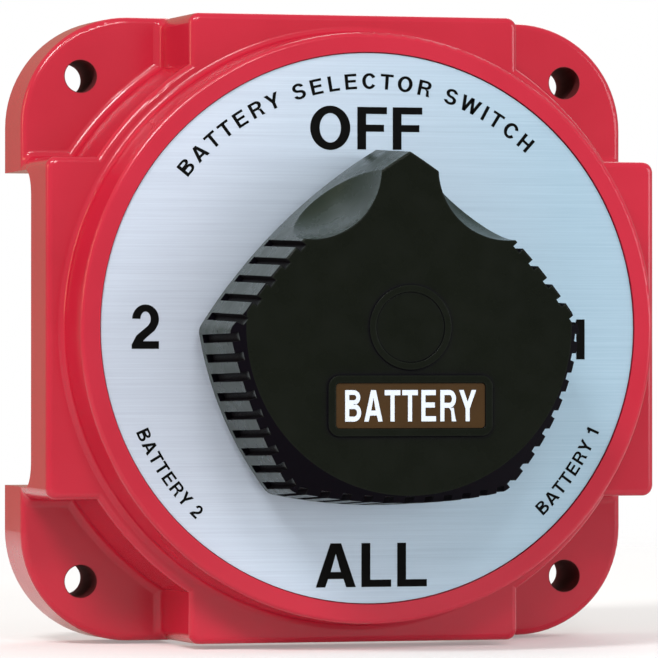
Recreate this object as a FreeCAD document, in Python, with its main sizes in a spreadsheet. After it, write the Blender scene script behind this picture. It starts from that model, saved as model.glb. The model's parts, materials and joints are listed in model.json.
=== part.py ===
import FreeCAD, Part
import math
import os
import Sketcher
from FreeCAD import Placement, Rotation, Vector

# Surface-mounted boat battery switch: a square moulded case with a round dial, a pointer knob that turns
# all the way round, and three terminal studs in the open back.
# Millimetres.  The origin is the centre of the mounting plane, the front faces -Y and +Z is up.
# A "height" is a distance forward from the mounting plane, so it is measured along -Y.

DIMENSIONS = {
    # case moulding
    "case_width": 141.8,
    "case_draft": 1.14,
    "foot_height": 18.4,
    "foot_corner": 25.0,
    "block_width": 77.4,
    "block_corner": 3.2,
    "block_height": 45.3,
    "barrel_radius": 70.4,
    "barrel_draft": 1.7,
    "bezel_radius": 66.1,
    "bezel_draft": 3.65,
    "bezel_height": 59.4,
    "case_wall": 4.0,
    "edge_round": 1.4,
    "bezel_round": 1.0,
    "bezel_root_round": 1.5,
    "block_root_round": 2.0,
    "window_width": 71.2,
    "window_height": 28.6,
    "window_corner": 6.0,
    "cavity_radius": 66.0,
    "roof_radius": 61.5,
    "mount_pitch": 114.0,
    "mount_hole_radius": 3.65,
    # dial
    "dial_radius": 60.7,
    "dial_thickness": 1.0,
    "dial_seat_height": 57.9,
    "dial_seat_gap": 0.2,
    "dial_hole_radius": 13.5,
    # contact chamber
    "chamber_radius": 47.0,
    "chamber_roof": 53.9,
    "chamber_floor": 34.0,
    "chamber_wall": 4.0,
    "boss_radius": 4.5,
    "boss_circle": 54.5,
    "boss_pilot_radius": 1.7,
    "boss_pilot_depth": 13.0,
    "detent_circle": 38.0,
    "detent_dimple_radius": 3.6,
    "detent_depth": 0.9,
    # terminal base and its screws
    "base_radius": 59.5,
    "base_thickness": 7.0,
    "screw_radius": 1.65,
    "screw_hole_radius": 2.2,
    "screw_length": 17.0,
    "screw_head_radius": 3.7,
    "screw_head_height": 2.8,
    "screw_recess_radius": 2.2,
    "screw_recess_width": 0.9,
    # terminals
    "stud_radius": 6.35,
    "stud_circle": 33.0,
    "stud_tip": 3.0,
    "stud_collar_radius": 9.0,
    "stud_collar": 2.0,
    "stud_tail_radius": 5.0,
    "contact_thickness": 2.0,
    "contact_radius": 10.5,
    "common_ring_radius": 16.0,
    "common_ring_bore": 7.0,
    "common_arm_width": 14.0,
    "washer_radius": 13.0,
    "washer_thickness": 2.6,
    "lock_washer_radius": 11.0,
    "lock_washer_thickness": 3.1,
    "lock_washer_split": 2.2,
    "nut_across_flats": 19.05,
    "nut_height": 11.0,
    "thread_gap": 0.03,
    "overcut": 1.0,
    # moving contact
    "bridge_radius": 41.0,
    "bridge_half_angle": 65.0,
    "bridge_thickness": 3.0,
    "bridge_gap": 0.4,
    "rotor_radius": 44.0,
    "rotor_back": 37.0,
    "rotor_front": 52.9,
    "bridge_pocket_floor": 40.6,
    "contact_spring_radius": 3.4,
    "contact_spring_wire": 0.45,
    "contact_spring_seat": 46.4,
    "contact_spring_circle": 30.0,
    "contact_spring_gap": 0.3,
    "ball_radius": 3.2,
    "ball_gap": 0.05,
    "ball_clearance": 0.02,
    "ball_pocket_floor": 42.0,
    "detent_spring_radius": 2.5,
    "detent_spring_wire": 0.3,
    # shaft
    "shaft_radius": 8.0,
    "shaft_bore_radius": 8.06,
    "shaft_back": 42.0,
    "shaft_tip": 80.0,
    "shaft_flat": 6.3,
    "shaft_flat_gap": 0.05,
    "shaft_neck_top": 59.1,
    "seal_height": 55.9,
    "seal_wire": 0.9,
    "seal_groove_radius": 6.2,
    "seal_groove_width": 2.1,
    "knob_screw_radius": 2.5,
    "knob_screw_length": 18.0,
    "knob_screw_gap": 0.3,
    "knob_screw_head_radius": 5.0,
    "knob_screw_head_height": 3.4,
    "knob_screw_recess_radius": 2.75,
    "knob_screw_recess_width": 1.0,
    "tapping_spare": 3.0,
    "knob_washer_radius": 6.0,
    "knob_washer_thickness": 1.0,
    # knob
    "knob_base": 64.0,
    "knob_face": 92.4,
    "knob_draft": 2.6,
    "knob_tip": 39.2,
    "knob_side": 40.1,
    "knob_side_drop": 0.3,
    "knob_heel_width": 24.6,
    "knob_heel": 36.2,
    "knob_upper_bulge": 3.3,
    "knob_lower_bulge": 2.5,
    "knob_heel_bulge": 2.7,
    "knob_tip_round": 0.4,
    "knob_side_round": 3.0,
    "knob_heel_round": 3.5,
    "bevel_face_radius": 36.1,
    "bevel_slope": 52.0,
    "bevel_half_angle": 96.0,
    "bevel_reach": 14.0,
    "scoop_across": 21.7,
    "scoop_up": 34.1,
    "scoop_radius": 15.4,
    "scoop_depth": 27.5,
    "scoop_wall": 3.2,
    "rib_lip": 2.5,
    "rib_groove": 1.9,
    "rib_depth": 1.3,
    "rib_first": 0.58,
    "rib_last": 0.94,
    "knob_cavity_radius": 31.0,
    "knob_cavity_side": 26.0,
    "knob_cavity_side_angle": 44.0,
    "knob_cavity_top": 28.0,
    "knob_roof": 88.9,
    "hub_radius": 12.5,
    "hub_back": 59.3,
    "socket_top": 80.5,
    "web_thickness": 2.2,
    "web_back": 66.0,
    "plug_radius": 7.55,
    "plug_seat_radius": 7.6,
    "plug_seat": 85.0,
    "plug_back": 90.2,
    "plug_rise": 0.2,
    "plug_rim_radius": 9.1,
    "plug_rim_rise": 0.4,
    "badge_width": 33.2,
    "badge_height": 9.8,
    "badge_drop": 16.8,
    "badge_frame": 1.6,
    "badge_rise": 0.6,
    "badge_sink": 0.5,
    "badge_gap": 0.1,
    "badge_thickness": 0.8,
    "badge_corner": 0.8,
    "knob_edge_round": 0.4,
}

FORWARD = Rotation(Vector(1, 0, 0), 90)  # turns a primitive's own +Z to point forward, along -Y
UPPER_GROOVES = 5
LOWER_GROOVES = 9
HEEL_GROOVES = 11
SPRING_COILS = 5
# Places round the axis, in degrees anticlockwise from +X as seen from the front.
SCREW_TURNS = (45, 135, 225, 315)
DETENT_TURNS = (0, 90, 180, 270)
CONTACT_SPRING_TURNS = (45, 90, 135)
WEB_TURNS = (35, 145, 215, 325)

doc = FreeCAD.newDocument("battery_switch")
sheet = doc.addObject("Spreadsheet::Sheet", "Sizes")
for row, (alias, value) in enumerate(DIMENSIONS.items(), start=1):
    sheet.set(f"A{row}", alias)
    sheet.set(f"B{row}", str(value))
    sheet.setAlias(f"B{row}", alias)
doc.recompute()


def size(alias):
    """The value of one cell of the sheet."""
    return float(sheet.get(alias))


def polar(radius, degrees):
    """A point of the front view, its angle counted anticlockwise from +X."""
    return Vector(radius * math.cos(math.radians(degrees)), radius * math.sin(math.radians(degrees)), 0)


def bind(thing, **expressions):
    """Bind properties to expressions of the sheet's cells; a double underscore stands for a dot."""
    for name, text in expressions.items():
        thing.setExpression(name.replace("__", "."), text)


# Sketches and PartDesign features --------------------------------------------------------------------


def new_body(label):
    """A PartDesign body whose label names the sub-part."""
    body = doc.addObject("PartDesign::Body", label + "_body")
    body.Label = label
    return body


def plane_sketch(body, name, role):
    """A sketch on one of the body's own origin planes."""
    sketch = body.newObject("Sketcher::SketchObject", name)
    plane = next(item for item in body.Origin.OriginFeatures if item.Role == role)
    sketch.AttachmentSupport = [(plane, "")]
    sketch.MapMode = "FlatFace"
    return sketch


def front_sketch(body, name, height=None):
    """A sketch seen from the front, at a height: its x is +X and its y is +Z."""
    sketch = plane_sketch(body, name, "XZ_Plane")
    if height:
        sketch.setExpression("AttachmentOffset.Base.z", height)
    return sketch


def circle(sketch, radius, x=None, y=None):
    """A circle whose radius and centre are expressions; without a centre it is on the axis."""
    index = sketch.addGeometry(Part.Circle(Vector(0, 0, 0), Vector(0, 0, 1), 1.0), False)
    bound = {"Radius": sketch.addConstraint(Sketcher.Constraint("Radius", index, 1.0))}
    if x is None:
        sketch.addConstraint(Sketcher.Constraint("Coincident", index, 3, -1, 1))
    else:
        bound["X"] = sketch.addConstraint(Sketcher.Constraint("DistanceX", -1, 1, index, 3, 1.0))
        bound["Y"] = sketch.addConstraint(Sketcher.Constraint("DistanceY", -1, 1, index, 3, 1.0))
    for key, text in {"Radius": radius, "X": x, "Y": y}.items():
        if text is not None:
            sketch.setExpression(f"Constraints[{bound[key]}]", text)


def rounded_rectangle(sketch, width, height, corner, y="0"):
    """A rectangle with rounded corners on the vertical centre line; the sizes are expressions."""
    half_w, half_h, r = 30.0, 20.0, 5.0
    flat_w, flat_h = half_w - r, half_h - r
    lines = [
        ((-flat_w, half_h), (flat_w, half_h)),
        ((half_w, flat_h), (half_w, -flat_h)),
        ((flat_w, -half_h), (-flat_w, -half_h)),
        ((-half_w, -flat_h), (-half_w, flat_h)),
    ]
    for start, end in lines:
        sketch.addGeometry(Part.LineSegment(Vector(*start, 0), Vector(*end, 0)), False)
    centres = [(flat_w, flat_h, 0), (flat_w, -flat_h, 270), (-flat_w, -flat_h, 180), (-flat_w, flat_h, 90)]
    for x, z, start in centres:
        round_corner = Part.Circle(Vector(x, z, 0), Vector(0, 0, 1), r)
        begin = math.radians(start)
        sketch.addGeometry(Part.ArcOfCircle(round_corner, begin, begin + math.pi / 2), False)
    for side in range(4):
        arc = 4 + side
        sketch.addConstraint(Sketcher.Constraint("Tangent", side, 2, arc, 2))
        sketch.addConstraint(Sketcher.Constraint("Tangent", (side + 1) % 4, 1, arc, 1))
        if side:
            sketch.addConstraint(Sketcher.Constraint("Equal", 4, arc))
    sketch.addConstraint(Sketcher.Constraint("Horizontal", 0))
    sketch.addConstraint(Sketcher.Constraint("Vertical", 1))
    sketch.addConstraint(Sketcher.Constraint("Horizontal", 2))
    sketch.addConstraint(Sketcher.Constraint("Vertical", 3))
    bound = {
        "width": sketch.addConstraint(Sketcher.Constraint("DistanceX", 3, 1, 1, 1, 2 * half_w)),
        "right": sketch.addConstraint(Sketcher.Constraint("DistanceX", -1, 1, 1, 1, half_w)),
        "height": sketch.addConstraint(Sketcher.Constraint("DistanceY", 2, 1, 0, 1, 2 * half_h)),
        "top": sketch.addConstraint(Sketcher.Constraint("DistanceY", -1, 1, 0, 1, half_h)),
        "corner": sketch.addConstraint(Sketcher.Constraint("Radius", 4, r)),
    }
    sketch.setExpression(f"Constraints[{bound['width']}]", width)
    sketch.setExpression(f"Constraints[{bound['right']}]", f"({width}) / 2")
    sketch.setExpression(f"Constraints[{bound['height']}]", height)
    sketch.setExpression(f"Constraints[{bound['top']}]", f"({height}) / 2 + ({y})")
    sketch.setExpression(f"Constraints[{bound['corner']}]", corner)


def pad(body, sketch, length, draft=None):
    """Add material forward of a sketch; a draft narrows it on the way."""
    feature = body.newObject("PartDesign::Pad", sketch.Name + "_pad")
    feature.Profile = sketch
    feature.setExpression("Length", length)
    if draft:
        feature.setExpression("TaperAngle", draft)
    return feature


def pocket(body, sketch, depth):
    """Cut forward of a sketch, away from the mounting plane."""
    feature = body.newObject("PartDesign::Pocket", sketch.Name + "_pocket")
    feature.Profile = sketch
    feature.Reversed = True
    feature.setExpression("Length", depth)
    return feature


def through_pocket(body, sketch, length):
    """Cut both ways from a sketch on a plane through the middle."""
    feature = body.newObject("PartDesign::Pocket", sketch.Name + "_pocket")
    feature.Profile = sketch
    feature.Midplane = True
    feature.setExpression("Length", length)


def turned_pattern(body, feature, name, count):
    """Repeat a feature round the switch's axis."""
    pattern = body.newObject("PartDesign::PolarPattern", name)
    pattern.Originals = [feature]
    axis = next(item for item in body.Origin.OriginFeatures if item.Role == "Y_Axis")
    pattern.Axis = (axis, [""])
    pattern.Angle = 360
    pattern.Occurrences = count
    body.Tip = pattern
    return pattern


def fillet(body, base, name, radius, test):
    """Round the edges of a feature that pass a test."""
    doc.recompute()
    feature = body.newObject("PartDesign::Fillet", name)
    edges = enumerate(base.Shape.Edges, start=1)
    feature.Base = (base, [f"Edge{number}" for number, edge in edges if test(edge)])
    feature.setExpression("Radius", radius)
    body.Tip = feature
    return feature


def middle(edge):
    """The point halfway along an edge."""
    return edge.valueAt((edge.FirstParameter + edge.LastParameter) / 2)


def at_height(edge, alias):
    """Whether an edge's middle lies at a height given by a cell."""
    return abs(middle(edge).y + size(alias)) < 0.01


def from_axis(edge):
    """How far an edge's middle is from the knob's axis."""
    return math.hypot(middle(edge).x, middle(edge).z)


# Part primitives -------------------------------------------------------------------------------------


def place(thing, height, x="0", z="0"):
    """Stand a primitive on a height, pointing forward."""
    thing.Placement = Placement(Vector(0, 0, 0), FORWARD)
    thing.setExpression("Placement.Base.x", x)
    thing.setExpression("Placement.Base.y", f"-({height})")
    thing.setExpression("Placement.Base.z", z)
    return thing


def rod(name, radius, start, end, x="0", z="0"):
    """A cylinder between two heights."""
    thing = doc.addObject("Part::Cylinder", name)
    bind(thing, Radius=radius, Height=f"({end}) - ({start})")
    return place(thing, start, x, z)


def on_circle(radius, turn):
    """The expressions for a place on a circle round the axis, in the front view."""
    return f"({radius}) * cos({turn})", f"({radius}) * sin({turn})"


def drill(name, radius, start, end, x="0", z="0"):
    """A cylinder that cuts past two heights."""
    return rod(name, radius, f"({start}) - Sizes.overcut", f"({end}) + Sizes.overcut", x, z)


def block(name, width, depth, start, end, x="0", z="0"):
    """A box between two heights, centred on a point of the front view."""
    thing = doc.addObject("Part::Box", name)
    bind(thing, Length=width, Width=depth, Height=f"({end}) - ({start})")
    return place(thing, start, f"({x}) - ({width}) / 2", f"({z}) - ({depth}) / 2")


def cross_recess(name, radius, width, back, front, x="0", z="0"):
    """A cross-shaped driver recess between two heights."""
    slot = block(name + "_slot", f"2 * ({radius})", width, back, front, x, z)
    cross = block(name + "_cross", width, f"2 * ({radius})", back, front, x, z)
    return fuse(name, [slot, cross])


def fuse(name, things):
    result = doc.addObject("Part::MultiFuse", name)
    result.Shapes = things
    return result


def cut(name, base, tools):
    result = doc.addObject("Part::Cut", name)
    result.Base = base
    result.Tool = tools[0] if len(tools) == 1 else fuse(name + "_tools", tools)
    return result


def common(name, things):
    result = doc.addObject("Part::MultiCommon", name)
    result.Shapes = things
    return result


def label(thing, text):
    thing.Label = text
    return thing


def coil_spring(name, label_text, radius, wire, back, front, centres):
    """Helical compression springs between two heights, one solid at each point of the front view."""
    turn_height = front - back - 2 * wire
    springs = []
    for centre in centres:
        path = Part.makeHelix(turn_height / SPRING_COILS, turn_height, radius - wire)
        section = Part.Wire([Part.Circle(Vector(radius - wire, 0, 0), Vector(0, 1, 0), wire).toShape()])
        coil = Part.Wire(path).makePipeShell([section], True, True)
        coil.Placement = Placement(Vector(centre.x, -(back + wire), centre.y), FORWARD)
        springs.append(coil)
    thing = doc.addObject("Part::Feature", name)
    thing.Shape = springs[0] if len(springs) == 1 else Part.makeCompound(springs)
    return label(thing, label_text)


# Case ------------------------------------------------------------------------------------------------


def make_housing():
    """The red case: four feet, four side blocks, a round barrel and the bezel, hollow from behind."""
    body = new_body("housing")
    feet = front_sketch(body, "case_feet")
    rounded_rectangle(feet, "Sizes.case_width", "Sizes.case_width", "Sizes.foot_corner")
    feet_pad = pad(body, feet, "Sizes.foot_height", "-Sizes.case_draft")
    fillet(body, feet_pad, "feet_edges", "Sizes.edge_round", is_foot_edge)
    for name, width, height in (("case_wide_block", "Sizes.case_width", "Sizes.block_width"),
                                ("case_tall_block", "Sizes.block_width", "Sizes.case_width")):
        sketch = front_sketch(body, name)
        rounded_rectangle(sketch, width, height, "Sizes.block_corner")
        pad(body, sketch, "Sizes.block_height", "-Sizes.case_draft")
    barrel = front_sketch(body, "case_barrel", "Sizes.foot_height")
    circle(barrel, "Sizes.barrel_radius")
    walls = pad(body, barrel, "Sizes.block_height - Sizes.foot_height", "-Sizes.barrel_draft")
    fillet(body, walls, "block_root", "Sizes.block_root_round", is_block_root)
    bezel = front_sketch(body, "case_bezel", "Sizes.block_height")
    circle(bezel, "Sizes.bezel_radius")
    top = pad(body, bezel, "Sizes.bezel_height - Sizes.block_height", "-Sizes.bezel_draft")

    doc.recompute()
    top = fillet(body, top, "bezel_root", "Sizes.bezel_root_round", is_bezel_root)
    top = fillet(body, top, "case_edges", "Sizes.edge_round", is_case_edge)
    top = fillet(body, top, "bezel_edge", "Sizes.bezel_round", is_bezel_edge)

    seat = front_sketch(body, "dial_seat", "Sizes.dial_seat_height")
    circle(seat, "Sizes.dial_radius + Sizes.dial_seat_gap")
    pocket(body, seat, "Sizes.bezel_height - Sizes.dial_seat_height")
    cavity = front_sketch(body, "cavity")
    circle(cavity, "Sizes.cavity_radius")
    pocket(body, cavity, "Sizes.block_height - Sizes.case_wall")
    roof = front_sketch(body, "cavity_roof")
    circle(roof, "Sizes.roof_radius")
    pocket(body, roof, "Sizes.chamber_roof")
    inner_span = "2 * Sizes.cavity_radius"
    for name, width, height in (("side_room", inner_span, "Sizes.window_width"),
                                ("end_room", "Sizes.window_width", inner_span)):
        sketch = front_sketch(body, name)
        rounded_rectangle(sketch, width, height, "Sizes.window_corner")
        pocket(body, sketch, "Sizes.block_height - Sizes.case_wall")
    window_span = "2 * Sizes.window_height"
    for name, role, width, height in (
        ("side_windows", "YZ_Plane", window_span, "Sizes.window_width"),
        ("end_windows", "XY_Plane", "Sizes.window_width", window_span),
    ):
        sketch = plane_sketch(body, name, role)
        rounded_rectangle(sketch, width, height, "Sizes.window_corner")
        through_pocket(body, sketch, "Sizes.case_width + Sizes.overcut")

    wall = front_sketch(body, "chamber_wall", "Sizes.chamber_floor")
    circle(wall, "Sizes.chamber_radius + Sizes.chamber_wall")
    circle(wall, "Sizes.chamber_radius")
    pad(body, wall, "Sizes.chamber_roof - Sizes.chamber_floor")
    boss = front_sketch(body, "boss", "Sizes.chamber_floor")
    circle(boss, "Sizes.boss_radius", "Sizes.boss_circle * sin(45)", "Sizes.boss_circle * cos(45)")
    turned_pattern(body, pad(body, boss, "Sizes.chamber_roof - Sizes.chamber_floor"), "bosses", 4)
    pilot = front_sketch(body, "boss_pilot", "Sizes.chamber_floor")
    circle(pilot, "Sizes.boss_pilot_radius", "Sizes.boss_circle * sin(45)", "Sizes.boss_circle * cos(45)")
    turned_pattern(body, pocket(body, pilot, "Sizes.boss_pilot_depth"), "boss_pilots", 4)
    hole = front_sketch(body, "mount_hole")
    circle(hole, "Sizes.mount_hole_radius", "Sizes.mount_pitch / 2", "Sizes.mount_pitch / 2")
    turned_pattern(body, pocket(body, hole, "Sizes.foot_height + Sizes.overcut"), "mount_holes", 4)
    bore = front_sketch(body, "shaft_bore")
    circle(bore, "Sizes.shaft_bore_radius")
    body.Tip = pocket(body, bore, "Sizes.bezel_height + Sizes.overcut")

    dimples = [ball("dimple", "Sizes.detent_dimple_radius", "Sizes.detent_circle", turn,
                    "Sizes.chamber_roof + Sizes.detent_depth - Sizes.detent_dimple_radius")
               for turn in DETENT_TURNS]
    body.Label = "case_moulding"
    return label(cut("housing_cut", body, dimples), "housing")


def is_foot_edge(edge):
    """The rim of the feet's front."""
    return at_height(edge, "foot_height")


def is_block_root(edge):
    """Where the blocks and the barrel rise from the feet's front."""
    at = middle(edge)
    on_block = abs(min(abs(at.x), abs(at.z)) - size("block_width") / 2) < 1
    on_barrel = abs(from_axis(edge) - size("barrel_radius")) < 0.05
    return at_height(edge, "foot_height") and (on_block or on_barrel)


def is_bezel_root(edge):
    """The circle where the bezel rises from the flat front of the blocks."""
    return at_height(edge, "block_height") and abs(from_axis(edge) - size("bezel_radius")) < 0.05


def is_case_edge(edge):
    """The rim of the blocks' and the barrel's front, outside the bezel."""
    return at_height(edge, "block_height") and from_axis(edge) > size("bezel_radius") + 2


def is_bezel_edge(edge):
    """The bezel's outer front edge."""
    return at_height(edge, "bezel_height")


def ball(name, radius, circle_radius, turn, height):
    """A sphere on a circle round the axis, its angle counted anticlockwise from +X."""
    thing = doc.addObject("Part::Sphere", name)
    thing.setExpression("Radius", radius)
    return place(thing, height, *on_circle(circle_radius, turn))


def make_dial_plate():
    """The brushed metal dial, a disc seated inside the bezel."""
    disc = rod("dial_disc", "Sizes.dial_radius", "Sizes.dial_seat_height",
               "Sizes.dial_seat_height + Sizes.dial_thickness")
    hole = drill("dial_hole", "Sizes.dial_hole_radius", "Sizes.dial_seat_height", "Sizes.bezel_height")
    return label(cut("dial_cut", disc, [hole]), "dial_plate")


# Terminals -------------------------------------------------------------------------------------------

STUD_TURNS = {"common": 90, "battery_one": -45, "battery_two": -135}
BASE_BACK = "Sizes.chamber_floor - Sizes.base_thickness"


def make_terminal_base():
    """The insulating disc that closes the contact chamber from behind and carries the studs."""
    disc = rod("base_disc", "Sizes.base_radius", BASE_BACK, "Sizes.chamber_floor")
    tools = []
    for turn in STUD_TURNS.values():
        x, z = on_circle("Sizes.stud_circle", turn)
        tools.append(drill("base_stud_hole", "Sizes.stud_radius + Sizes.thread_gap", BASE_BACK,
                           "Sizes.chamber_floor", x, z))
        tools.append(rod("base_collar_seat", "Sizes.stud_collar_radius + Sizes.thread_gap",
                         "Sizes.chamber_floor - Sizes.stud_collar",
                         "Sizes.chamber_floor + Sizes.overcut", x, z))
    for turn in SCREW_TURNS:
        x, z = on_circle("Sizes.boss_circle", turn)
        tools.append(drill("base_screw_hole", "Sizes.screw_hole_radius", BASE_BACK,
                           "Sizes.chamber_floor", x, z))
    return label(cut("base_cut", disc, tools), "terminal_base")


def make_base_screws():
    """Four pan-head screws that hold the terminal base to the case's bosses."""
    screws = []
    head_back = BASE_BACK + " - Sizes.screw_head_height"
    for turn in SCREW_TURNS:
        x, z = on_circle("Sizes.boss_circle", turn)
        shank = rod("screw_shank", "Sizes.screw_radius", BASE_BACK, BASE_BACK + " + Sizes.screw_length", x, z)
        head = rod("screw_head", "Sizes.screw_head_radius", head_back, BASE_BACK, x, z)
        recess = cross_recess("screw_recess", "Sizes.screw_recess_radius", "Sizes.screw_recess_width",
                              head_back + " - Sizes.overcut", head_back + " + Sizes.screw_head_height / 2",
                              x, z)
        screws.append(cut("base_screw", fuse("screw_blank", [shank, head]), [recess]))
    group = doc.addObject("Part::Compound", "base_screw_group")
    group.Links = screws
    return label(group, "base_screws")


def make_stud(kind, turn):
    """A terminal stud: collar let into the base, tail swaged through its contact, free end behind."""
    x, z = on_circle("Sizes.stud_circle", turn)
    stem = rod("stud_stem", "Sizes.stud_radius", "Sizes.stud_tip", "Sizes.chamber_floor", x, z)
    collar = rod("stud_collar", "Sizes.stud_collar_radius", "Sizes.chamber_floor - Sizes.stud_collar",
                 "Sizes.chamber_floor", x, z)
    tail = rod("stud_tail", "Sizes.stud_tail_radius", "Sizes.chamber_floor",
               "Sizes.chamber_floor + Sizes.contact_thickness", x, z)
    return label(fuse("stud", [stem, collar, tail]), kind + "_stud")


def make_battery_contact(kind, turn):
    """A round copper pad on the inner face of the base."""
    x, z = on_circle("Sizes.stud_circle", turn)
    top = "Sizes.chamber_floor + Sizes.contact_thickness"
    disc = rod("contact_pad", "Sizes.contact_radius", "Sizes.chamber_floor", top, x, z)
    hole = drill("contact_hole", "Sizes.stud_tail_radius + Sizes.thread_gap", "Sizes.chamber_floor",
                 top, x, z)
    return label(cut("contact_cut", disc, [hole]), kind + "_contact")


def make_common_contact():
    """The copper ring round the axis, with an arm up to the common stud."""
    x, z = on_circle("Sizes.stud_circle", STUD_TURNS["common"])
    top = "Sizes.chamber_floor + Sizes.contact_thickness"
    ring = rod("common_ring", "Sizes.common_ring_radius", "Sizes.chamber_floor", top)
    eye = rod("common_eye", "Sizes.contact_radius", "Sizes.chamber_floor", top, x, z)
    arm = block("common_arm", "Sizes.common_arm_width", "Sizes.stud_circle", "Sizes.chamber_floor", top,
                "0", "Sizes.stud_circle / 2")
    bore = drill("common_bore", "Sizes.common_ring_bore", "Sizes.chamber_floor", top)
    hole = drill("common_hole", "Sizes.stud_tail_radius + Sizes.thread_gap", "Sizes.chamber_floor", top, x, z)
    return label(cut("common_cut", fuse("common_blank", [ring, eye, arm]), [bore, hole]), "common_contact")


def make_stud_hardware():
    """A flat washer, a split lock washer and a hexagon nut on each stud."""
    washers, lock_washers, nuts = [], [], []
    bore = "Sizes.stud_radius + Sizes.thread_gap"
    washer_back = BASE_BACK + " - Sizes.washer_thickness"
    lock_back = washer_back + " - Sizes.lock_washer_thickness"
    nut_back = lock_back + " - Sizes.nut_height"
    for turn in STUD_TURNS.values():
        x, z = on_circle("Sizes.stud_circle", turn)
        hole = drill("washer_hole", bore, washer_back, BASE_BACK, x, z)
        washers.append(cut("washer", rod("washer_disc", "Sizes.washer_radius", washer_back, BASE_BACK, x, z),
                           [hole]))
        hole = drill("lock_hole", bore, lock_back, washer_back, x, z)
        split = block("lock_split", "Sizes.lock_washer_split", "2 * Sizes.lock_washer_radius",
                      lock_back + " - Sizes.overcut", washer_back + " + Sizes.overcut",
                      x, f"({z}) + Sizes.lock_washer_radius")
        lock_washers.append(cut("lock_washer", rod("lock_disc", "Sizes.lock_washer_radius", lock_back,
                                                   washer_back, x, z), [hole, split]))
        prism = doc.addObject("Part::Prism", "nut_prism")
        prism.Polygon = 6
        bind(prism, Circumradius="Sizes.nut_across_flats / 2 / cos(30)", Height="Sizes.nut_height")
        place(prism, nut_back, x, z)
        hole = drill("nut_hole", bore, nut_back, lock_back, x, z)
        cone = doc.addObject("Part::Cone", "nut_chamfer")
        bind(cone, Radius1="Sizes.nut_across_flats / 2", Height="Sizes.nut_height",
             Radius2="Sizes.nut_across_flats / 2 + Sizes.nut_height * tan(60)")
        place(cone, nut_back, x, z)
        nuts.append(cut("nut", common("nut_blank", [prism, cone]), [hole]))
    for text, solids in (("stud_washers", washers), ("stud_lock_washers", lock_washers), ("stud_nuts", nuts)):
        group = doc.addObject("Part::Compound", text + "_group")
        group.Links = solids
        group.Label = text


# Turning parts ---------------------------------------------------------------------------------------


def bridge_blank(name, gap, back, front):
    """The moving contact's outline: a ring round the axis with a sector towards the pointer."""
    half_angle = size("bridge_half_angle")
    body = new_body(name)
    sketch = front_sketch(body, name + "_outline", back)
    ring, outer = size("common_ring_radius") + gap, size("bridge_radius") + gap
    edge_turn = 90 - half_angle
    side_shift = math.degrees(math.asin(gap / outer))
    inner_shift = math.degrees(math.asin(gap / ring))
    right_out, right_in = polar(outer, edge_turn - side_shift), polar(ring, edge_turn - inner_shift)
    left_out, left_in = Vector(-right_out.x, right_out.y, 0), Vector(-right_in.x, right_in.y, 0)
    sketch.addGeometry(Part.Arc(right_out, Vector(0, outer, 0), left_out), False)
    sketch.addGeometry(Part.LineSegment(left_out, left_in), False)
    sketch.addGeometry(Part.Arc(left_in, Vector(0, -ring, 0), right_in), False)
    sketch.addGeometry(Part.LineSegment(right_in, right_out), False)
    for index in range(4):
        sketch.addConstraint(Sketcher.Constraint("Block", index))
    body.Tip = pad(body, sketch, f"({front}) - ({back})")
    return body


def make_bridge():
    """The copper bridge that joins the common ring to the battery pads, in the rotor's pocket."""
    back = "Sizes.chamber_floor + Sizes.contact_thickness"
    front = back + " + Sizes.bridge_thickness"
    blank = bridge_blank("bridge_outline", 0.0, back, front)
    bore = drill("bridge_bore", "Sizes.common_ring_bore", back, front)
    return label(cut("bridge_cut", blank, [bore]), "contact_bridge")


def make_rotor():
    """The insulating rotor: it carries the bridge, its springs and the two detent balls."""
    disc = rod("rotor_disc", "Sizes.rotor_radius", "Sizes.rotor_back", "Sizes.rotor_front")
    tools = [bridge_blank("rotor_bridge_pocket", size("bridge_gap"), "Sizes.rotor_back - Sizes.overcut",
                          "Sizes.bridge_pocket_floor")]
    for turn in CONTACT_SPRING_TURNS:
        tools.append(rod("rotor_spring_pocket", "Sizes.contact_spring_radius + Sizes.contact_spring_gap",
                         "Sizes.rotor_back", "Sizes.contact_spring_seat",
                         *on_circle("Sizes.contact_spring_circle", turn)))
    for turn in DETENT_TURNS[::2]:
        tools.append(rod("rotor_ball_pocket", "Sizes.ball_radius + Sizes.ball_gap", "Sizes.ball_pocket_floor",
                         "Sizes.rotor_front + Sizes.overcut", *on_circle("Sizes.detent_circle", turn)))
    tools.append(shaft_socket("rotor_socket", "Sizes.shaft_back", "Sizes.rotor_front + Sizes.overcut"))
    return label(cut("rotor_cut", disc, tools), "rotor")


def shaft_socket(name, start, end):
    """The double-D hole that the shaft drives through."""
    hole = rod(name + "_round", "Sizes.shaft_radius + Sizes.shaft_flat_gap", start, end)
    flats = block(name + "_flats", "2 * (Sizes.shaft_flat + Sizes.shaft_flat_gap)",
                  "3 * Sizes.shaft_radius", start, end)
    return common(name, [hole, flats])


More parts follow.
